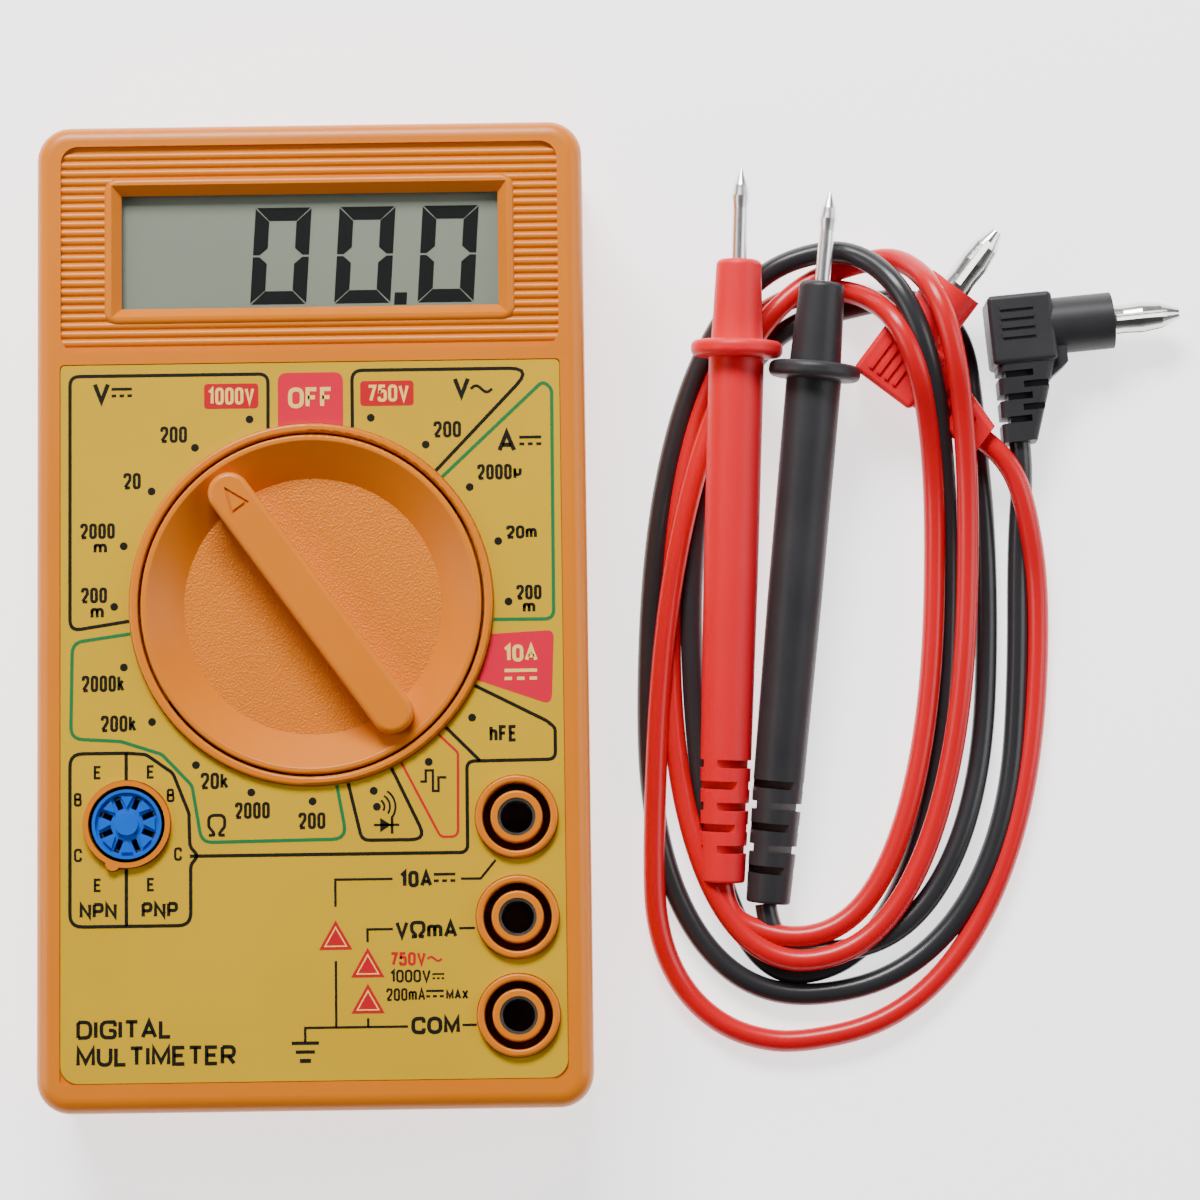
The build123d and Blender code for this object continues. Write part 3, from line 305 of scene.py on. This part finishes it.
# Strokes of each character on a unit box: its width beside the others', its height, and its lines, each with
# how round its corners are and whether it closes.
STEM, OVAL = ([(0, 0), (0, 1)], 0, False), ([(0, 0), (0, 1), (1, 1), (1, 0)], 0.5, True)
BOWL = ([(0, 1), (1, 1), (1, 0.45), (0, 0.45)], 0.35, False)
MIDDLE_ARM = ([(0, 0.52), (0.85, 0.52)], 0, False)
GLYPHS = {
    "0": (0.5, 1, [OVAL]), "O": (0.68, 1, [OVAL]),
    "1": (0.26, 1, [([(0, 0.78), (0.9, 1), (0.9, 0)], 0, False)]),
    "2": (0.5, 1, [([(0, 0.74), (0, 1), (1, 1), (1, 0.6), (0.04, 0.05)], 0.45, False),
                   ([(0, 0), (1, 0)], 0, False)]),
    "5": (0.5, 1, [([(0.95, 1), (0.12, 1), (0.03, 0.5)], 0, False),
                   ([(0.03, 0.52), (0.3, 0.66), (1, 0.66), (1, 0), (0, 0), (0, 0.24)], 0.42, False)]),
    "7": (0.5, 1, [([(0, 1), (1, 1), (0.35, 0)], 0, False)]),
    "V": (0.6, 1, [([(0, 1), (0.5, 0), (1, 1)], 0, False)]),
    "A": (0.62, 1, [([(0, 0), (0.5, 1), (1, 0)], 0, False), ([(0.2, 0.3), (0.8, 0.3)], 0, False)]),
    "m": (0.74, 0.72, [STEM, ([(0, 0.5), (0, 1), (0.5, 1), (0.5, 0)], 0.25, False),
                       ([(0.5, 0.5), (0.5, 1), (1, 1), (1, 0)], 0.25, False)]),
    "k": (0.46, 1, [STEM, ([(0.92, 0.7), (0, 0.3)], 0, False), ([(0.36, 0.44), (1, 0)], 0, False)]),
    "h": (0.46, 1, [STEM, ([(0, 0.4), (0, 0.7), (1, 0.7), (1, 0)], 0.4, False)]),
    "F": (0.5, 1, [([(1, 1), (0, 1), (0, 0)], 0, False), MIDDLE_ARM]),
    "E": (0.5, 1, [([(1, 1), (0, 1), (0, 0), (1, 0)], 0, False), MIDDLE_ARM]),
    "N": (0.58, 1, [([(0, 0), (0, 1), (1, 0), (1, 1)], 0, False)]),
    "P": (0.54, 1, [STEM, BOWL]), "R": (0.56, 1, [STEM, BOWL, ([(0.5, 0.45), (1, 0)], 0, False)]),
    "B": (0.54, 1, [STEM, ([(0, 1), (0.92, 1), (0.92, 0.53), (0, 0.53)], 0.3, False),
                    ([(0, 0.53), (1, 0.53), (1, 0), (0, 0)], 0.35, False)]),
    "C": (0.62, 1, [([(1, 0.7), (1, 1), (0, 1), (0, 0), (1, 0), (1, 0.3)], 0.5, False)]),
    "G": (0.66, 1, [([(1, 0.72), (1, 1), (0, 1), (0, 0), (1, 0), (1, 0.46), (0.55, 0.46)], 0.45, False)]),
    "M": (0.72, 1, [([(0, 0), (0, 1), (0.5, 0.15), (1, 1), (1, 0)], 0, False)]),
    "X": (0.56, 1, [([(0, 0), (1, 1)], 0, False), ([(0, 1), (1, 0)], 0, False)]),
    "D": (0.6, 1, [STEM, ([(0, 1), (1, 1), (1, 0), (0, 0)], 0.5, False)]),
    "I": (0.02, 1, [STEM]), "L": (0.46, 1, [([(0, 1), (0, 0), (1, 0)], 0, False)]),
    "T": (0.56, 1, [([(0, 1), (1, 1)], 0, False), ([(0.5, 1), (0.5, 0)], 0, False)]),
    "U": (0.58, 1, [([(0, 1), (0, 0), (1, 0), (1, 1)], 0.5, False)]),
    "Ω": (0.76, 1, [([(0, 0), (0.34, 0), (0.3, 0.14), (0, 0.42), (0, 1), (1, 1), (1, 0.42), (0.7, 0.14),
                      (0.66, 0), (1, 0)], 0.42, False)]),
    "µ": (0.46, 1, [STEM, ([(0, 1), (0, 0.35), (0.95, 0.35), (0.95, 1)], 0.4, False)]),
}
LETTER_CLEAR = 0.08


def word(ink, body, x0, y0, x1, y1, stroke=0.38, lift=0.0):
    """Text in even strokes, fitted to a box from its foot at y0 to its top at y1."""
    wide, tall = x1 - x0 - stroke, y1 - y0 - stroke
    gap = stroke + LETTER_CLEAR * (y1 - y0)
    scale = (wide - gap * (len(body) - 1)) / sum(GLYPHS[mark][0] for mark in body)
    x = x0 + stroke / 2
    for mark in body:
        width, rise, lines = GLYPHS[mark]
        width_mm = width * scale
        rise_mm = tall if len(body) == 1 else tall * rise
        for points, roundness, closed in lines:
            places = [(x + px * width_mm, y0 + stroke / 2 + py * rise_mm) for px, py in points]
            if roundness:
                places = rounded(places, roundness * width_mm, closed)
            ribbon(ink, places, stroke, closed, lift)
        x += width_mm + gap


def direct(ink, x0, x1, y, thick=0.36, lift=0.0):
    """The direct-current mark: a bar over three dashes."""
    ribbon(ink, [(x0, y), (x1, y)], thick, lift=lift)
    dash = (x1 - x0) / 4.4
    for i in range(3):
        left = x0 + i * 1.7 * dash
        ribbon(ink, [(left, y - 2.4 * thick), (left + dash, y - 2.4 * thick)], thick, lift=lift)


def wave(ink, x0, x1, y, rise=0.42, thick=0.36):
    """The alternating-current mark."""
    ribbon(ink, [(x0 + (x1 - x0) * i / 12, y + rise * sin(2 * pi * i / 12)) for i in range(13)], thick)


def frame_line(ink, points, radius=1.2, width=LINE_W):
    ribbon(ink, rounded(points, radius), width)


def print_label():
    # volts, direct
    frame_line("black", [ring_point(103.4), (-5.35, 30.4), (-30.6, 30.4), (-30.6, -2.2), ring_point(184.6)])
    word("black", "V", -27.7, 26.9, -25.5, 29.6, 0.54)
    direct("black", -25.3, -22.7, 28.7)
    pill("red", -13.5, 26.0, -6.6, 29.2)
    word("cream", "1000V", -13.0, 26.5, -7.1, 28.7, lift=INK_T)
    word("black", "200", -19.1, 21.7, -15.7, 23.8)
    word("black", "20", -23.8, 15.8, -21.6, 17.9)
    word("black", "2000", -29.3, 9.5, -24.9, 11.5)
    word("black", "m", -27.6, 7.6, -25.9, 8.9)
    word("black", "200", -29.2, 1.3, -25.9, 3.3)
    word("black", "m", -28.0, -0.7, -26.3, 0.7)
    # off
    slab("pink", rounded([(-4.1, 23.65), (-4.1, 30.5), (4.2, 30.5), (4.2, 23.65)], 1.2)[:-1]
         + [(4.2, 23.65)] + ring_arc(79.6, 100.2))
    word("cream", "OFF", -2.8, 25.9, 2.9, 28.6, 0.52, lift=INK_T)
    # volts, alternating
    frame_line("black", [ring_point(76.6), (5.35, 30.7), (28.4, 30.7), ring_point(46.6)], 1.3)
    pill("red", 6.4, 26.1, 13.2, 29.3)
    word("cream", "750V", 7.3, 26.6, 12.6, 28.8, lift=INK_T)
    word("black", "200", 15.7, 21.9, 19.2, 24.0)
    word("black", "V", 18.2, 27.0, 20.4, 29.7, 0.54)
    wave("black", 20.5, 23.2, 28.1)
    # amps
    frame_line("green", [ring_point(43.8), (29.7, 29.0), (30.8, 28.0), (30.7, -1.5), ring_point(-5.6)], 1.2)
    word("black", "A", 23.8, 19.9, 26.2, 22.7, 0.54)
    direct("black", 26.6, 29.4, 21.8)
    word("black", "2000", 21.2, 16.4, 25.6, 18.4)
    word("black", "µ", 25.8, 16.4, 26.9, 18.0)
    word("black", "20m", 24.8, 8.8, 28.7, 10.5)
    word("black", "200", 26.0, 1.0, 29.2, 2.9)
    word("black", "m", 26.8, -0.7, 28.4, 0.6)
    # ten amps
    slab("pink", rounded([ring_point(-10.2), (30.7, -2.9), (30.3, -12.4), ring_point(-25.4)], 0.9)[1:-1]
         + ring_arc(-25.4, -10.2))
    word("cream", "10A", 24.3, -6.9, 28.6, -4.7, 0.45, lift=INK_T)
    direct("cream", 24.4, 28.5, -8.0, 0.42, lift=INK_T)
    # gain of transistors
    frame_line("black", [ring_point(-27.3), (29.6, -14.4), (30.7, -15.3), (30.7, -19.3), (19.5, -19.4),
                         (19.5, -30.9), (-15.5, -30.9)], 1.0)
    ribbon("black", [ring_point(-43.2), (21.2, -19.4)])
    word("black", "hFE", 22.4, -17.0, 25.9, -14.9, 0.40)
    # square wave
    frame_line("red", [ring_point(-46.4), (18.4, -18.3), (18.3, -28.9), (16.1, -28.9), ring_point(-61.0)],
               0.9, 0.3)
    ribbon("black", [(13.6, -21.9), (14.3, -21.9), (14.3, -20.5), (15.2, -20.5), (15.2, -23.1), (15.9, -23.1),
                     (15.9, -21.4), (16.9, -21.4)], 0.3)
    # diode and buzzer
    frame_line("black", [ring_point(-78.8), (6.2, -29.2), (14.3, -29.2), ring_point(-64.5)], 1.2)
    slab("black", disc(8.1, -25.0, 0.5))
    for reach in (0.95, 1.65, 2.35):
        ribbon("black", [(8.1 + reach * cos(radians(a)), -25.0 + reach * sin(radians(a)))
                         for a in range(-32, 58, 11)], 0.26)
    ribbon("black", [(7.7, -27.3), (10.9, -27.3)], 0.3)
    ribbon("black", [(10.0, -26.2), (10.0, -28.4)], 0.34)
    slab("black", [(8.5, -26.4), (8.5, -28.2), (9.9, -27.3)])
    # ohms
    frame_line("green", [ring_point(188.6), (-30.3, -3.7), (-30.5, -15.9), (-24.2, -16.3), (-19.0, -18.0),
                         (-15.2, -22.0), (-14.0, -29.2), (4.3, -29.0), ring_point(-82.4)], 1.6)
    word("black", "2000k", -29.1, -10.0, -23.7, -7.9)
    word("black", "200k", -26.7, -15.1, -22.2, -13.0)
    word("black", "20k", -14.1, -22.5, -10.6, -20.4)
    word("black", "2000", -9.8, -26.3, -5.4, -24.2)
    word("black", "200", -1.8, -27.7, 1.6, -25.6)
    word("black", "Ω", -13.3, -28.5, -10.9, -25.6)
    # transistor socket
    frame_line("black", [(-23.5, -17.8), (-30.6, -17.8), (-30.6, -39.6), (-15.4, -39.6), (-15.4, -31.9),
                         (-14.4, -30.9), (-15.5, -29.7), (-15.6, -25.5), (-17.6, -20.4), (-21.0, -18.0),
                         (-23.5, -17.8)], 1.6)
    for y0, y1 in ((-17.8, -21.2), (-32.4, -39.6)):
        ribbon("black", [(-23.5, y0), (-23.5, y1)])
    for mark, x, y in (("E", -27.1, -20.2), ("E", -20.4, -20.2), ("B", -29.6, -23.6), ("B", -17.9, -23.2),
                       ("C", -29.6, -30.6), ("C", -17.0, -30.6), ("E", -27.1, -34.4), ("E", -20.4, -34.4)):
        word("black", mark, x - 0.5, y - 0.85, x + 0.5, y + 0.85, 0.3)
    word("black", "NPN", -29.4, -38.6, -24.7, -36.6, 0.42)
    word("black", "PNP", -21.6, -38.6, -17.0, -36.6, 0.42)
    # dots round the dial, but none in the two blocks
    for i in range(1, 20):
        if i != 14:
            slab("black", disc(*ring_point(90 + 18 * i, DOTS_AT_R), DOT_R))
    # jacks
    word("black", "10A", 10.9, -35.2, 15.0, -33.1, 0.46)
    direct("black", 15.2, 17.9, -33.6, 0.34)
    ribbon("black", [(18.6, -34.2), (21.1, -34.2), (23.0, -31.9)], 0.3)
    ribbon("black", [(10.0, -34.1), (2.8, -34.1), (2.8, -37.5)], 0.3)
    word("black", "VΩmA", 10.3, -41.6, 18.1, -39.4, 0.44)
    ribbon("black", [(18.3, -40.4), (20.3, -40.4)], 0.3)
    ribbon("black", [(10.0, -40.4), (6.8, -40.4), (6.8, -42.0)], 0.3)
    word("red", "750V", 9.6, -45.0, 14.1, -43.3, 0.33)
    wave("red", 14.3, 16.1, -44.2, 0.25, 0.26)
    word("black", "1000V", 9.6, -47.1, 14.7, -45.5, 0.27)
    direct("black", 14.9, 16.4, -46.1, 0.22)
    word("black", "200mA", 9.1, -49.4, 14.0, -47.8, 0.27)
    direct("black", 14.1, 16.3, -48.2, 0.28)
    word("black", "MAX", 16.6, -49.3, 19.4, -48.1, 0.26)
    for x, y in ((2.8, -42.9), (6.8, -46.4), (6.8, -50.9)):
        slab("red", [(x - 2.1, y), (x + 2.1, y), (x, y + 3.7)])
        ribbon("cream", [(x - 1.35, y + 0.43), (x + 1.35, y + 0.43), (x, y + 2.8)], 0.16,
               closed=True, lift=INK_T)
    ribbon("black", [(2.8, -44.3), (2.8, -52.6)], 0.3)
    ribbon("black", [(6.8, -51.5), (6.8, -52.6)], 0.3)
    ribbon("black", [(11.8, -52.6), (-1.1, -52.6), (-1.1, -54.4)], 0.3)
    for half, y, thick in ((1.7, -54.5, 0.42), (1.2, -55.6, 0.42), (0.7, -56.7, 0.5)):
        ribbon("black", [(-1.1 - half, y), (-1.1 + half, y)], thick)
    word("black", "COM", 12.2, -53.6, 18.3, -51.4, 0.48)
    ribbon("black", [(18.6, -52.5), (20.4, -52.5)], 0.3)
    word("black", "DIGITAL", -29.8, -53.7, -17.8, -51.3, 0.46)
    word("black", "MULTIMETER", -29.8, -57.1, -9.8, -54.6, 0.46)


print_label()
ink_materials = {
    "black": principled("ink_black", (0.006, 0.006, 0.006), (0.010, 0.009, 0.008), rough=0.6, specular=0.15),
    "red": principled("ink_red", (0.52, 0.004, 0.012), (0.46, 0.003, 0.010), rough=0.6, specular=0.15),
    "pink": principled("ink_pink", (0.66, 0.001, 0.034), (0.60, 0.001, 0.030), rough=0.6, specular=0.15),
    "green": principled("ink_green", (0.012, 0.16, 0.045), (0.01, 0.14, 0.04), rough=0.6, specular=0.15),
    "cream": principled("ink_cream", (0.90, 0.60, 0.14), (0.84, 0.54, 0.11), rough=0.6, specular=0.15),
}
for ink, shape in inks.items():
    flat = bpy.data.meshes.new(f"label_print_{ink}")
    shape.to_mesh(flat)
    shape.free()
    flat.materials.append(ink_materials[ink])
    printed = bpy.data.objects.new(f"label_print_{ink}", flat)
    bpy.context.collection.objects.link(printed)
    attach(printed, "case")

# ---------------------------------------------------------------- digits on the display
DIGIT_W, DIGIT_H, STROKE = 7.2, 12.6, 1.85
LEAN = 0.063
SEGMENT_GAP = 0.13
DIGITS_AT = ((-3.8, "abcdef"), (7.0, "abcdef"), (17.7, "abcdef"))
POINT_AT, POINT_HALF = (11.9, -5.75), 0.8
DIGITS_DROP = 0.45
SEGMENT_LOW, SEGMENT_HIGH = 0.01, 0.04


def digit_segments(segments):
    """Outlines of a seven-segment digit's lit segments, about its centre."""
    w, h, s, g = DIGIT_W / 2, DIGIT_H / 2, STROKE, SEGMENT_GAP
    top = [(-w + g, h), (w - g, h), (w - s, h - s + g), (-w + s, h - s + g)]
    side = [(w, h - g), (w, g), (w - s * 0.45, g), (w - s, s * 0.55), (w - s, h - s)]
    outlines = {
        "a": top, "d": [(x, -y) for x, y in top[::-1]],
        "b": side, "c": [(x, -y) for x, y in side[::-1]],
        "f": [(-x, y) for x, y in side[::-1]], "e": [(-x, -y) for x, y in side]}
    return [outlines[name] for name in segments]


def show_digits():
    shape = bmesh.new()
    centre_y = (lcd_low.y + lcd_high.y) / 2 - DIGITS_DROP
    low, high = (lcd_high.z + SEGMENT_LOW) * MM, (lcd_high.z + SEGMENT_HIGH) * MM
    outlines = [(x, outline) for x, segments in DIGITS_AT for outline in digit_segments(segments)]
    corners = ((-1, -1), (1, -1), (1, 1), (-1, 1))
    outlines.append((POINT_AT[0], [(x * POINT_HALF, POINT_AT[1] + y * POINT_HALF) for x, y in corners]))
    for centre_x, outline in outlines:
        places = [((centre_x + x + LEAN * y) * MM, (centre_y + y) * MM) for x, y in outline]
        tops = [shape.verts.new((*place, high)) for place in places]
        feet = [shape.verts.new((*place, low)) for place in places]
        shape.faces.new(tops)
        shape.faces.new(feet[::-1])
        for i in range(len(places)):
            j = (i + 1) % len(places)
            shape.faces.new((tops[j], tops[i], feet[i], feet[j]))
    bmesh.ops.recalc_face_normals(shape, faces=shape.faces)
    flat = bpy.data.meshes.new("lcd_digits")
    shape.to_mesh(flat)
    shape.free()
    flat.materials.append(principled("lcd_ink", (0.004, 0.004, 0.005), (0.007, 0.007, 0.008), rough=0.6,
                                     specular=0.1))
    digits = bpy.data.objects.new("lcd_digits", flat)
    bpy.context.collection.objects.link(digits)
    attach(digits, "case")


show_digits()

# ---------------------------------------------------------------- cords
# A turn is four quarters between its left, top, right and bottom extremes. Each extreme is x, y, z and the
# height halfway to the next one. Millimetres.
QUARTER_POINTS = 5
SQUARENESS = 2.25


def plug_point(colour, u, v, w=0.0):
    """A point in a plug's own axes, in millimetres in the frame."""
    (x, y, z), heading, pitch = PLUGS[colour]
    turned, tipped = radians(heading), radians(pitch)
    along = Vector((cos(turned) * cos(tipped), sin(turned) * cos(tipped), sin(tipped)))
    upward = Vector((-cos(turned) * sin(tipped), -sin(turned) * sin(tipped), cos(tipped)))
    return Vector((x, y, z)) + along * u + upward.cross(along) * v + upward * w


def smooth(a, b, t):
    return a + (b - a) * t * t * (3 - 2 * t)


def height(z0, z_mid, z1, t):
    return smooth(z0, z_mid, 2 * t) if t < 0.5 else smooth(z_mid, z1, 2 * t - 1)


def quarter(a, b, from_side):
    """Points from extreme a towards extreme b, b left out: a superellipse's quarter."""
    points = []
    for i in range(QUARTER_POINTS):
        t = i / QUARTER_POINTS
        rise, fall = sin(t * pi / 2) ** (2 / SQUARENESS), cos(t * pi / 2) ** (2 / SQUARENESS)
        if from_side:
            x, y = b[0] + (a[0] - b[0]) * fall, a[1] + (b[1] - a[1]) * rise
        else:
            x, y = a[0] + (b[0] - a[0]) * rise, b[1] + (a[1] - b[1]) * fall
        points.append(Vector((x, y, height(a[2], a[3], b[2], t))))
    return points


def turns(extremes):
    """Round the extremes in turn, from a right or left one."""
    points = []
    for i, (a, b) in enumerate(zip(extremes, extremes[1:])):
        points += quarter(a, b, i % 2 == 0)
    return points + [Vector(extremes[-1][:3])]


def points_of(*places):
    return [Vector(place) for place in places]


# Black: out of its plug, two turns, under the red plug's sleeve and relief, and round to its probe
black_route = [plug_point("black", *RELIEF_END), plug_point("black", RELIEF_END[0], RELIEF_END[1] - 4.0)]
black_route += points_of((92.2, 10.0, 1.8))
black_route += turns([
    (91.8, -8.0, 1.5, 1.5), (63.0, -49.6, 1.5, 1.5), (42.5, -14.0, 1.5, 1.5), (67.2, 49.3, 6.2, 12.8),
    (83.0, 8.0, 1.5, 1.5), (62.0, -46.9, 1.5, 1.5), (48.5, 0.0, 1.5, 1.5), (71.0, 42.2, 1.5, 1.5)])
black_route += points_of(
    (75.6, 43.2, 1.5), (79.8, 42.9, 1.5), (83.2, 41.0, 1.5), (85.8, 36.6, 1.5), (86.6, 30.0, 1.5),
    (87.2, 22.0, 1.5), (87.9, 12.0, 1.5))
black_route += turns([(87.9, -2.0, 1.5, 3.0), (66.5, -43.9, 3.2, 3.0)])
black_route += points_of((60.8, -43.0, 3.0), (58.2, -40.8, 3.0), (57.8, -37.3, 3.0))

# Red: out of its plug, two turns and a half, and round to its probe
red_route = [plug_point("red", *RELIEF_END), plug_point("red", RELIEF_END[0], RELIEF_END[1] - 4.0)]
red_route += points_of((93.4, 14.0, 4.4))
red_route += turns([
    (95.0, 2.0, 1.5, 1.5), (61.9, -55.6, 1.5, 1.5), (43.0, -34.0, 2.5, 4.3), (74.3, 48.6, 3.8, 13.6),
    (85.4, 12.0, 6.0, 4.4), (62.9, -45.3, 4.3, 3.0), (45.6, -4.0, 1.5, 1.5), (67.0, 44.6, 2.2, 12.8),
    (81.2, 12.7, 3.8, 3.8), (62.3, -42.2, 4.0, 3.5)])
red_route += points_of((55.5, -40.5, 3.0), (52.5, -38.0, 3.0), (52.2, -34.5, 3.0))
routes = {"black": black_route, "red": red_route}

for colour, points in routes.items():
    line = bpy.data.curves.new(f"{colour}_cord", "CURVE")
    line.dimensions = "3D"
    line.resolution_u = 8
    line.bevel_depth = CORD_R * MM
    line.bevel_resolution = 6
    line.use_fill_caps = True
    spline = line.splines.new("NURBS")
    spline.points.add(len(points) - 1)
    for place, point in zip(spline.points, points):
        place.co = (*(point * MM), 1)
    spline.order_u = 3
    spline.use_endpoint_u = True
    piece = bpy.data.objects.new(f"{colour}_lead_cord", line)
    bpy.context.collection.objects.link(piece)
    line.materials.append(cord_red if colour == "red" else cord_black)
    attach(piece, "test_leads")
    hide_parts("lead_hank")

# ---------------------------------------------------------------- floor, light and camera
FACE_MIDDLE = Vector((36.6, 0.8, 25.2)) * MM
CAMERA_M = 0.5
CAMERA_TILT = 6.0
CAMERA_ROLL = -0.8
FIELD_M = 0.1521


def studio():
    """A plain pale floor, soft light from the display end, and the camera over the meter."""
    bpy.ops.mesh.primitive_plane_add(size=16, location=(0, 0, -0.0001))
    floor = bpy.context.object
    floor.name = "floor"
    paper = principled("floor_white", (0.90, 0.90, 0.905), (0.88, 0.88, 0.885), rough=0.6, mottle=3,
                       grain=300, bump=0.02)
    shader = paper.node_tree.nodes["Principled BSDF"]
    shader.inputs["Emission Color"].default_value = (1, 1, 1, 1)
    shader.inputs["Emission Strength"].default_value = 1.7
    floor.data.materials.append(paper)
    world = bpy.data.worlds.new("studio")
    bpy.context.scene.world = world
    world.use_nodes = True
    sky = world.node_tree
    rising = sky.nodes.new("ShaderNodeSeparateXYZ")
    sky.links.new(sky.nodes.new("ShaderNodeTexCoord").outputs["Generated"], rising.inputs["Vector"])
    dome = sky.nodes.new("ShaderNodeMapRange")
    dome.inputs["From Max"].default_value = 0.5
    dome.inputs["To Min"].default_value = 0.5
    dome.inputs["To Max"].default_value = 0.05
    sky.links.new(rising.outputs["Z"], dome.inputs["Value"])
    sky.links.new(dome.outputs["Result"], sky.nodes["Background"].inputs["Strength"])
    sky.nodes["Background"].inputs["Color"].default_value = (1, 1, 1, 1)

    def softbox(name, place, size, power):
        light = bpy.data.lights.new(name, "AREA")
        light.shape = "RECTANGLE"
        light.size, light.size_y = size
        light.energy = power
        lamp = bpy.data.objects.new(name, light)
        lamp.location = place
        lamp.rotation_euler = (Vector((0.03, 0, 0.01)) - Vector(place)).to_track_quat("-Z", "Y").to_euler()
        bpy.context.collection.objects.link(lamp)

    softbox("key", (-0.12, 0.70, 0.62), (0.50, 0.28), 17.0)
    softbox("fill_left", (-0.75, -0.05, 0.50), (0.4, 0.6), 3.0)
    softbox("fill_right", (0.80, 0.10, 0.55), (0.4, 0.6), 3.0)

    camera = bpy.data.cameras.new("camera")
    camera.sensor_width = 36.0
    camera.lens = 36.0 * CAMERA_M / FIELD_M
    camera.clip_start = 0.01
    shooter = bpy.data.objects.new("camera", camera)
    tilt = radians(CAMERA_TILT)
    turn = Matrix.Rotation(tilt, 4, "X") @ Matrix.Rotation(radians(CAMERA_ROLL), 4, "Z")
    back = Vector((0, -sin(tilt), cos(tilt))) * CAMERA_M
    shooter.matrix_world = Matrix.Translation(FACE_MIDDLE + back) @ turn
    bpy.context.collection.objects.link(shooter)
    bpy.context.scene.camera = shooter


studio()
